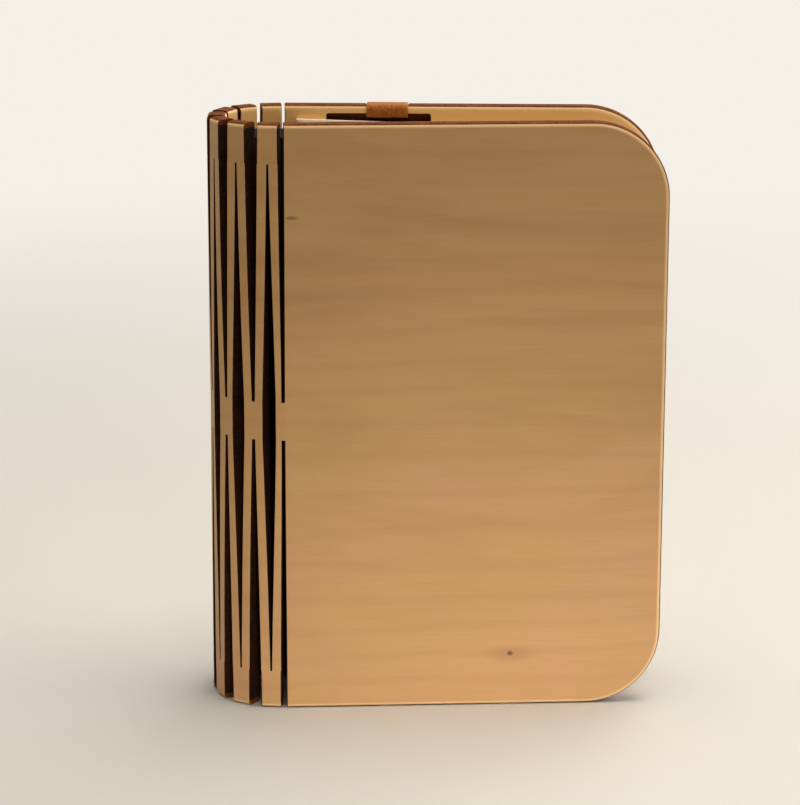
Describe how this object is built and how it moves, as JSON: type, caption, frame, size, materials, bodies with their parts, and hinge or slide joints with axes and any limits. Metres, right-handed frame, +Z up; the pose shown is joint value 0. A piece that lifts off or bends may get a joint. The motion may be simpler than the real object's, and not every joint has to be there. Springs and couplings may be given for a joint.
{
  "type": "folding book lamp",
  "caption": "Book-shaped lamp: two wooden covers on a slatted living-hinge spine fold open and fan out pleated paper around a light core.",
  "frame": {"origin": "bottom centre of the closed lamp, on the surface it stands on", "axes": "+Z up along the spine, +X from the spine to the fore-edge, front cover on -Y"},
  "size_m": [0.0929, 0.0301, 0.1226],
  "materials": {
    "maple_plywood": "sanded light veneer, clear satin finish, laser-burnt edges",
    "pleated_paper": "matt, white, fibrous",
    "end_board": "matt white card",
    "foam_tape": "matt foam",
    "core_plastic": "black, fine moulded texture",
    "diffuser_plastic": "milky, translucent",
    "screw_steel": "zinc plated",
    "circuit_laminate": "white solder mask",
    "led_phosphor": "yellow phosphor gel in a white case",
    "chip_black": "moulded epoxy",
    "socket_steel": "bright tin plate",
    "cell_wrap": "silver laminate pouch",
    "lead_insulation": "satin PVC",
    "magnet_nickel": "nickel plated",
    "strap_leather": "tan vegetable-tanned leather, waxed",
    "screw_brass": "satin brass"
  },
  "bodies": {
    "spine": {"centre_slat": "maple_plywood", "centre_pleats": "pleated_paper", "core_tape": "foam_tape", "core_housing": "core_plastic", "light_diffuser": "diffuser_plastic", "top_end_cap": "core_plastic", "bottom_end_cap": "core_plastic", "end_cap_screws": "screw_steel", "circuit_board": "circuit_laminate", "led_row": "led_phosphor", "board_chips": "chip_black", "magnet_switch": "chip_black", "usb_socket": "socket_steel", "battery_cell": "cell_wrap", "battery_leads": "lead_insulation"},
    "front_slat_3": {"front_slat_3": "maple_plywood", "front_pleats_3": "pleated_paper"},
    "front_slat_2": {"front_slat_2": "maple_plywood", "front_pleats_2": "pleated_paper"},
    "front_slat_1": {"front_slat_1": "maple_plywood", "front_pleats_1": "pleated_paper"},
    "back_slat_3": {"back_slat_3": "maple_plywood", "back_pleats_3": "pleated_paper"},
    "back_slat_2": {"back_slat_2": "maple_plywood", "back_pleats_2": "pleated_paper"},
    "back_slat_1": {"back_slat_1": "maple_plywood", "back_pleats_1": "pleated_paper"},
    "front_cover": {"front_cover": "maple_plywood", "front_end_board": "end_board", "front_cover_magnets": "magnet_nickel", "switch_magnet": "magnet_nickel"},
    "back_cover": {"back_cover": "maple_plywood", "back_end_board": "end_board", "back_cover_magnets": "magnet_nickel", "leather_strap": "strap_leather", "strap_screw": "screw_brass"}
  },
  "joints": [
    {"name": "front_inner_fold", "type": "hinge", "parent": "spine", "child": "front_slat_3", "pos_m": [-0.04446, -0.00359, 0], "axis": [0, 0, -1], "range_deg": [0, 52.8]},
    {"name": "front_middle_fold", "type": "hinge", "parent": "front_slat_3", "child": "front_slat_2", "pos_m": [-0.04179, -0.00897, 0], "axis": [0, 0, -1], "range_deg": [0, 59.6]},
    {"name": "front_outer_fold", "type": "hinge", "parent": "front_slat_2", "child": "front_slat_1", "pos_m": [-0.03681, -0.01231, 0], "axis": [0, 0, -1], "range_deg": [0, 52.4]},
    {"name": "front_cover_fold", "type": "hinge", "parent": "front_slat_1", "child": "front_cover", "pos_m": [-0.03136, -0.01303, 0], "axis": [0, 0, -1], "range_deg": [0, 24.94]},
    {"name": "back_inner_fold", "type": "hinge", "parent": "spine", "child": "back_slat_3", "pos_m": [-0.04446, 0.00241, 0], "axis": [0, 0, 1], "range_deg": [0, 52.8]},
    {"name": "back_middle_fold", "type": "hinge", "parent": "back_slat_3", "child": "back_slat_2", "pos_m": [-0.04179, 0.00778, 0], "axis": [0, 0, 1], "range_deg": [0, 59.6]},
    {"name": "back_outer_fold", "type": "hinge", "parent": "back_slat_2", "child": "back_slat_1", "pos_m": [-0.03681, 0.01112, 0], "axis": [0, 0, 1], "range_deg": [0, 52.4]},
    {"name": "back_cover_fold", "type": "hinge", "parent": "back_slat_1", "child": "back_cover", "pos_m": [-0.03136, 0.01184, 0], "axis": [0, 0, 1], "range_deg": [0, 24.94]}
  ],
  "couplings": [
    {"joint": "front_inner_fold", "follows": "front_middle_fold", "ratio": 0.8859},
    {"joint": "front_outer_fold", "follows": "front_middle_fold", "ratio": 0.87919},
    {"joint": "front_cover_fold", "follows": "front_middle_fold", "ratio": 0.41843},
    {"joint": "back_inner_fold", "follows": "back_middle_fold", "ratio": 0.8859},
    {"joint": "back_outer_fold", "follows": "back_middle_fold", "ratio": 0.87919},
    {"joint": "back_cover_fold", "follows": "back_middle_fold", "ratio": 0.41843}
  ]
}
